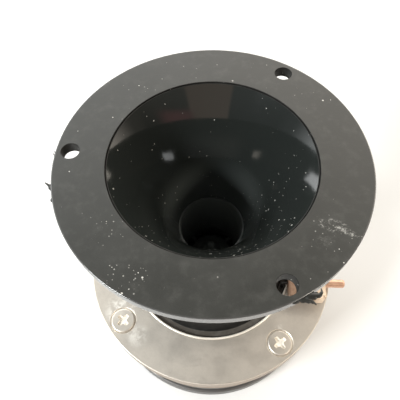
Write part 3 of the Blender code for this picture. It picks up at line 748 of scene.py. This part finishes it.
def make_throat_housing():
    """The collar, neck and cup under the bell, with the foot that the ring holds."""
    throat = THROAT_TOP - 0.0003
    collar_top = THROAT_TOP + 0.0042
    neck, neck_bottom = 0.0160, 0.076
    cup, cup_top_radius, cup_top = 0.0332, 0.0320, 0.063
    foot_top, foot_radius = RING_TOP - 0.001, RING_BORE - 0.0002
    skirt, skirt_top, skirt_bottom = 0.0396, 0.0482, 0.0465
    chamber, chamber_top, bore_start, bore_end = 0.0248, 0.061, 0.0120, 0.0122
    socket = 0.0171
    collar = soften([(0.0202, collar_top), (0.0202, throat - 0.0020), (neck, throat - 0.0050)], {1: 0.0006})
    collar[0:1] = [(0.0198, collar_top), (0.0202, collar_top - 0.0004)]
    shoulder = [(neck, neck_bottom)]
    for i in range(1, 15):
        turn = i / 14 * math.pi / 2
        shoulder.append((
            cup_top_radius - (cup_top_radius - neck) * math.cos(turn),
            cup_top + (neck_bottom - cup_top) * (1 - math.sin(turn)),
        ))
    foot = [
        (cup - 0.0003, foot_top + 0.0022), (cup - 0.0001, foot_top + 0.0006),
        (cup + 0.0003, foot_top + 0.0001), (cup + 0.0006, foot_top),
        (foot_radius - 0.0003, foot_top), (foot_radius, foot_top - 0.0003), (foot_radius, skirt_top),
        (skirt, skirt_top), (skirt, skirt_bottom), (chamber, skirt_bottom),
    ]
    bore = [
        (chamber, chamber_top), (bore_start, chamber_top), (bore_end, 0.0740),
        (THROAT_RADIUS, throat - 0.0003), (THROAT_RADIUS + 0.0003, throat), (socket, throat),
        (socket, collar_top - 0.0002), (socket + 0.0002, collar_top),
    ]
    profile = collar + shoulder + foot + bore
    first_foot = len(collar) + len(shoulder)
    first_bore = first_foot + len(foot)
    shell, throat_wall, foot_face, ledge = range(4)
    surfaces = [shell] * first_bore + [throat_wall] * len(bore)
    surfaces[first_foot + 2:first_foot + 5] = [foot_face] * 3
    # The ledge round the throat takes the painted-highlight ledge material.
    surfaces[first_bore + 3:first_bore + 5] = [ledge] * 2
    housing = mesh_object("throat_housing_shell", turned_shape(profile, TURN_STEPS, surfaces), [
        SHELL_LOOK, THROAT_LOOK, FOOT_LOOK, LEDGE_LOOK,
    ])
    holes = []
    for side in (-1, 1):
        way = [(0.0, 0.0530), (WIRE_HOLE_RADIUS, 0.0530), (WIRE_HOLE_RADIUS, 0.0450), (0.0, 0.0450)]
        holes.append(hole_cutter(f"wire_hole_{side + 1}", way, (WIRE_X, side * PIN_HALF_SPACING, 0.0), 24))
    cut(housing, holes)
    finish_piece(housing, ["throat_housing"])


# ---- the clamp ring and the screws ----
def make_ring():
    """The clamp ring, with a bead round its bore and four counterbores."""
    corners = [
        (RING_RADIUS, RING_TOP), (RING_RADIUS, RING_BOTTOM), (LOWER_BORE, RING_BOTTOM),
        (LOWER_BORE, LIP_BOTTOM), (RING_BORE, LIP_BOTTOM),
    ]
    profile = soften(corners, {0: 0.0005, 1: 0.0006, 2: 0.0003}, count=7)
    for i in range(10):
        turn = math.pi * i / 9
        profile.append((
            RING_BORE + BEAD_WIDTH / 2 * (1 - math.cos(turn)), RING_TOP + BEAD_HEIGHT * math.sin(turn),
        ))
    # bright_lip is the bead round the bore, in a painted highlight; side is the side wall, in painted
    # shade; rim_line is the outer edge, in a painted highlight.
    cast, bright_lip, side, rim_line = range(4)

    def choose(here, after):
        inner, outer, low = min(here[0], after[0]), max(here[0], after[0]), min(here[1], after[1])
        if outer < RING_BORE + 0.0014 and low > LIP_BOTTOM + 0.0005:
            return bright_lip
        if inner > RING_RADIUS - 0.0006 and low > RING_TOP - 0.0006:
            return rim_line
        return side if inner > RING_RADIUS - 0.0003 else cast

    shape = turned_shape(profile, TURN_STEPS, surface_numbers(profile, choose))
    ring = mesh_object("aluminium_ring", shape, [RING_LOOK, PAINTED_HIGHLIGHT_LOOK, RING_SIDE_LOOK, RIM_LINE_LOOK])
    sunk = [
        (0.0, RING_TOP + 0.0010), (COUNTERBORE_RADIUS + 0.0017, RING_TOP + 0.0010),
        (COUNTERBORE_RADIUS, RING_TOP - 0.0003), (COUNTERBORE_RADIUS - 0.0001, SUNK_FLOOR),
        (0.0028, SUNK_FLOOR), (0.0028, RING_BOTTOM - 0.001), (0.0, RING_BOTTOM - 0.001),
    ]
    cutters = []
    for i in range(4):
        place = on_circle(SCREW_CIRCLE, SCREW_ANGLE + 90 * i, 0.0)
        # The counterbore walls take the lighter edge colour, a painted highlight.
        cutters.append(hole_cutter(f"counterbore_{i + 1}", sunk, place, surface=RIM_LINE_LOOK))
    over, under = RING_TOP + 0.001, 0.0454
    way = [(0.0, over), (BLOCK_HOLE_RADIUS, over), (BLOCK_HOLE_RADIUS, under), (0.0, under)]
    for sign in (-1, 1):
        place = (BLOCK_SCREW_X, sign * BLOCK_SCREW_Y, 0.0)
        cutters.append(hole_cutter(f"block_way_{sign + 1}", way, place, 32))
    cut(ring, cutters)
    finish_piece(ring, ["clamp_ring"])


def cross_cutter(name, half_length, half_width, depth, surface):
    """A cross recess: tapered wings that meet in a deeper cone."""
    shape = bmesh.new()
    outline = [
        (half_length, -half_width), (half_length, half_width), (half_width * 1.5, half_width * 1.5),
    ]
    loop = []
    for quarter in range(4):
        spin = Matrix.Rotation(quarter * math.pi / 2, 2)
        loop += [spin @ Vector(point) for point in outline]
    levels = ((1.06, 0.0006), (1.0, 0.0), (0.82, -depth * 0.75), (0.34, -depth))
    rings = []
    for size, height in levels:
        rings.append([shape.verts.new((p.x * size, p.y * size, height)) for p in loop])
    for upper, lower in zip(rings, rings[1:]):
        for i in range(len(loop)):
            j = (i + 1) % len(loop)
            shape.faces.new((upper[i], upper[j], lower[j], lower[i]))
    shape.faces.new(rings[0][::-1])
    shape.faces.new(rings[-1])
    return mesh_object(name, shape, [surface])


def make_screw(node, place, size, turn):
    """A pan-head screw with a cross recess, in place of its CAD node."""
    head_radius, head_height, shank_radius, shank_length = size
    crown = []
    for i in range(9):
        lean = i / 8 * math.pi / 2
        crown.append((
            head_radius * (0.86 + 0.14 * math.sin(lean)), head_height * (0.72 + 0.25 * math.cos(lean)),
        ))
    profile = [(0.0, head_height), (head_radius * 0.45, head_height * 0.99)] + crown + [
        (head_radius, head_height * 0.12), (head_radius - 0.0002, 0.0), (shank_radius, 0.0),
        (shank_radius, -shank_length + shank_radius * 0.4), (shank_radius * 0.6, -shank_length),
        (0.0, -shank_length),
    ]
    screw = mesh_object(f"{node}_visual", turned_shape(profile, 64), [SCREW_LOOK])
    # The cross recess is given the near-white painted highlight instead of its shade.
    cross = cross_cutter(
        f"{node}_cross", head_radius * 0.55, head_radius * 0.13, head_height * 0.42, PAINTED_HIGHLIGHT_LOOK
    )
    cross.location = (0, 0, head_height)
    cut(screw, [cross])
    screw.rotation_euler = (0, 0, math.radians(turn))
    screw.location = place
    finish_piece(screw, [node], degrees=30.0)


def make_screws():
    """The four ring screws, each turned its own way, and the terminal block's two."""
    seat = RING_TOP - COUNTERBORE_DEPTH + 0.0003
    for i, turn in enumerate((20, 64, 48, 38)):
        place = on_circle(SCREW_CIRCLE, SCREW_ANGLE + 90 * i, seat)
        make_screw(f"ring_screw_{i + 1}", place, RING_SCREW, turn)
    for side, name in ((-1, "positive"), (1, "negative")):
        place = (BLOCK_SCREW_X, side * BLOCK_SCREW_Y, BLOCK_TOP + 0.0003)
        make_screw(f"block_screw_{name}", place, BLOCK_SCREW, 30 * side)


# ---- the motor ----
def make_motor():
    """The top plate, the magnet, and the back plate with its pole."""
    plate = [
        (PLATE_RADIUS, PLATE_TOP), (PLATE_RADIUS, PLATE_BOTTOM), (PLATE_BORE, PLATE_BOTTOM),
        (PLATE_BORE, PLATE_TOP),
    ]
    plate = turned_shape(soften(plate, {0: 0.0008, 1: 0.0008}))
    finish_piece(mesh_object("zinc_top_plate", plate, [ZINC_LOOK]), ["top_plate"])
    block = [
        (MAGNET_RADIUS, MAGNET_TOP), (MAGNET_RADIUS, MAGNET_BOTTOM), (MAGNET_BORE, MAGNET_BOTTOM),
        (MAGNET_BORE, MAGNET_TOP),
    ]
    block = turned_shape(soften(block, {0: 0.0014, 1: 0.0014, 2: 0.0008, 3: 0.0008}))
    finish_piece(mesh_object("ferrite_ring", block, [FERRITE_LOOK]), ["magnet"])
    yoke = [
        (0.0, POLE_TOP), (POLE_RADIUS, POLE_TOP), (POLE_RADIUS, YOKE_TOP), (YOKE_RADIUS, YOKE_TOP),
        (YOKE_RADIUS, 0.0), (0.0, 0.0),
    ]
    yoke = turned_shape(soften(yoke, {1: 0.0006, 3: 0.0010, 4: 0.0012}))
    finish_piece(mesh_object("back_plate_and_pole", yoke, [YOKE_LOOK]), ["yoke"])


# ---- the terminals ----
def make_terminals():
    """The block on the ring, with ways for its screws and pins, and the two pins."""
    shape = bmesh.new()
    bmesh.ops.create_cube(shape, size=1.0)
    low = Vector((BLOCK_INNER, -BLOCK_HALF_WIDTH, BLOCK_BOTTOM))
    high = Vector((BLOCK_OUTER, BLOCK_HALF_WIDTH, BLOCK_TOP))
    bmesh.ops.scale(shape, vec=high - low, verts=shape.verts)
    bmesh.ops.translate(shape, vec=(low + high) / 2, verts=shape.verts)
    upright = [e for e in shape.edges if abs(e.verts[0].co.z - e.verts[1].co.z) > 0.001]
    bmesh.ops.bevel(shape, geom=upright, offset=0.0012, segments=4, affect="EDGES")
    level = [e for e in shape.edges if abs(e.verts[0].co.z - e.verts[1].co.z) < 1e-6]
    rims = [e for e in level if len(e.link_faces) == 2 and e.calc_face_angle(0.0) > 1.0]
    bmesh.ops.bevel(shape, geom=rims, offset=0.0005, segments=3, affect="EDGES")
    block = mesh_object("phenolic_block", shape, [PHENOLIC_LOOK])
    wide, reach = PIN_RADIUS + 0.0003, 0.02
    pin_profile = [(0.0, reach), (wide, reach), (wide, -reach), (0.0, -reach)]
    over, under = BLOCK_TOP + 0.001, BLOCK_BOTTOM - 0.001
    screw_profile = [(0.0, over), (BLOCK_HOLE_RADIUS, over), (BLOCK_HOLE_RADIUS, under), (0.0, under)]
    cutters = []
    for side in (-1, 1):
        middle = ((BLOCK_INNER + BLOCK_OUTER) / 2, side * PIN_HALF_SPACING, PIN_Z)
        pin_way = hole_cutter(f"pin_way_{side + 1}", pin_profile, middle, 32)
        pin_way.rotation_euler = (0, math.pi / 2, 0)
        screw_place = (BLOCK_SCREW_X, side * BLOCK_SCREW_Y, 0.0)
        cutters += [pin_way, hole_cutter(f"screw_way_{side + 1}", screw_profile, screw_place, 32)]
    cut(block, cutters)
    finish_piece(block, ["terminal_block"], degrees=25.0)

    start = BLOCK_INNER + 0.0002
    length = PIN_OUTER_END - start
    tip = [(0.0, length)]
    for i in range(1, 9):
        lean = i / 8 * math.pi / 2
        tip.append((PIN_RADIUS * (0.35 + 0.65 * math.sin(lean)), length - 0.0010 * (1 - math.cos(lean))))
    tip += [(PIN_RADIUS, 0.0002), (PIN_RADIUS - 0.0002, 0.0), (0.0, 0.0)]
    for side, name in ((-1, "positive"), (1, "negative")):
        pin = mesh_object(f"pin_{name}", turned_shape(tip, 48), [COPPER_LOOK])
        pin.location = (start, side * PIN_HALF_SPACING, PIN_Z)
        pin.rotation_euler = (0, math.pi / 2, 0)
        finish_piece(pin, [f"terminal_pin_{name}"], degrees=40.0)


# ---- the CAD nodes that stay ----
def dress_nodes():
    """Gives the inner pieces and the lead wires, which keep their CAD shapes, their materials."""
    looks = {
        "phase_plug": PLUG_LOOK,
        "diaphragm_dome": TITANIUM_LOOK,
        "coil_former": FILM_LOOK,
        "voice_coil": WIRE_LOOK,
        "surround": FILM_LOOK,
        "diaphragm_frame": PHENOLIC_LOOK,
        "horn_gasket": FIBRE_LOOK,
        "damping_felt": FELT_LOOK,
        "coil_lead_positive": COPPER_LOOK,
        "coil_lead_negative": COPPER_LOOK,
        "lead_wire_positive": BACK_LOOK,
        "lead_wire_negative": BACK_LOOK,
    }
    for name, look in looks.items():
        slots = frame["nodes"][name].material_slots
        for slot in slots:
            slot.material = look
        if not slots:
            frame["nodes"][name].data.materials.append(look)


# ---- the stage ----
def make_floor():
    """A plain pale floor, just below the back plate."""
    shape = bmesh.new()
    bmesh.ops.create_grid(shape, x_segments=1, y_segments=1, size=3.0)
    look = Look("pale_floor", 0.75)
    look.colour(look.blend(look.noise(6, 3), (0.76, 0.76, 0.76), (0.79, 0.79, 0.785)))
    floor = mesh_object("floor", shape, [look.material])
    floor.location = (0, 0, -0.0002)


def add_light(name, place, target, size, power, colour):
    """A rectangular lamp that faces the target."""
    data = bpy.data.lights.new(name, "AREA")
    data.shape = "RECTANGLE"
    data.size = size[0]
    data.size_y = size[1]
    data.energy = power
    data.color = colour
    light = bpy.data.objects.new(name, data)
    bpy.context.scene.collection.objects.link(light)
    light.location = place
    light.rotation_mode = "QUATERNION"
    light.rotation_quaternion = (place - target).to_track_quat("Z", "Y")


def make_world():
    """Soft room light, bright beyond the object and dim overhead, behind a plain pale backdrop.

    The bell mirrors two coloured things in the room, low on the near side: a brown and a red one.
    """
    world = bpy.data.worlds.new("room")
    bpy.context.scene.world = world
    world.use_nodes = True
    room = Nodes(world.node_tree)
    x, y, z = room.split(room.add("ShaderNodeTexCoord").outputs["Generated"])

    def band(value, low, high, soft=0.03):
        into = room.ramp(value, low - soft, low + soft)
        return room.times(into, room.ramp(value, high - soft, high + soft, 1.0, 0.0))

    near_side = room.ramp(y, -0.30, -0.10, 1.0, 0.0)
    beyond = room.ramp(y, -0.08, 0.55, 0.24, 3.10)
    overhead = room.ramp(z, 0.70, 0.93, 1.0, 0.04)
    low_down = room.blend(near_side, WHITE, room.ramp(z, 0.08, 0.42, 0.45, 1.0))
    brightness = room.times(beyond, overhead, low_down)
    tint = room.blend(room.ramp(x, -0.8, 0.8), (0.96, 1.0, 1.0), (1.08, 0.98, 0.86))
    colour = room.blend(1.0, tint, brightness, "MULTIPLY")
    brown = room.times(band(x, -0.30, 0.42), band(z, 0.08, 0.50), near_side)
    red = room.times(band(x, 0.38, 0.82, 0.08), band(z, 0.08, 0.24), near_side)
    colour = room.blend(brown, colour, (0.73, 0.55, 0.44))
    colour = room.blend(red, colour, (0.70, 0.30, 0.30))
    rays = room.add("ShaderNodeLightPath")
    colour = room.blend(rays.outputs["Is Camera Ray"], colour, (0.95, 0.95, 0.95))
    room.feed(room.tree.nodes["Background"].inputs["Color"], colour)


def make_lights():
    """A large cool lamp to the left and a smaller warm one to the right, both on the near side."""
    mouth = Vector((0, 0, FLANGE_TOP))
    left = mouth + 0.9 * Vector((-0.72, -0.46, 0.52))
    right = mouth + 0.9 * Vector((0.70, -0.41, 0.58))
    add_light("left_lamp", left, mouth, (0.32, 0.16), 11.4, (0.98, 1.0, 1.0))
    add_light("right_lamp", right, mouth, (0.19, 0.11), 3.2, (1.0, 0.92, 0.80))


def make_camera():
    """The camera leans over the near side of the flange, close enough for a strong perspective."""
    # Pan, tilt and roll aim it a little away from the middle of the horn's mouth.
    elevation, distance = math.radians(53.976), 2.7097 * FLANGE_RADIUS
    pan, tilt, roll = math.radians(1.538), math.radians(-5.428), math.radians(-0.667)
    forward = Vector((0.0, math.cos(elevation), -math.sin(elevation)))
    right = Vector((1.0, 0.0, 0.0))
    up = right.cross(forward)
    turn = Matrix.Rotation(pan, 3, up) @ Matrix.Rotation(tilt, 3, right)
    forward, right, up = turn @ forward, turn @ right, turn @ up
    level = Matrix.Rotation(roll, 3, forward)
    right, up = level @ right, level @ up
    data = bpy.data.cameras.new("camera")
    data.sensor_width = 36.0
    data.lens = 38.88
    data.clip_start = 0.005
    camera = bpy.data.objects.new("camera", data)
    bpy.context.scene.collection.objects.link(camera)
    place = Vector((0.0, -distance * math.cos(elevation), FLANGE_TOP + distance * math.sin(elevation)))
    basis = Matrix((right, up, -forward)).transposed()
    camera.matrix_world = Matrix.Translation(place) @ basis.to_4x4()
    bpy.context.scene.camera = camera


make_camera()
make_floor()
make_world()
make_lights()
make_flange()
make_flash()
make_bell()
make_throat_housing()
make_ring()
make_screws()
make_motor()
make_terminals()
dress_nodes()
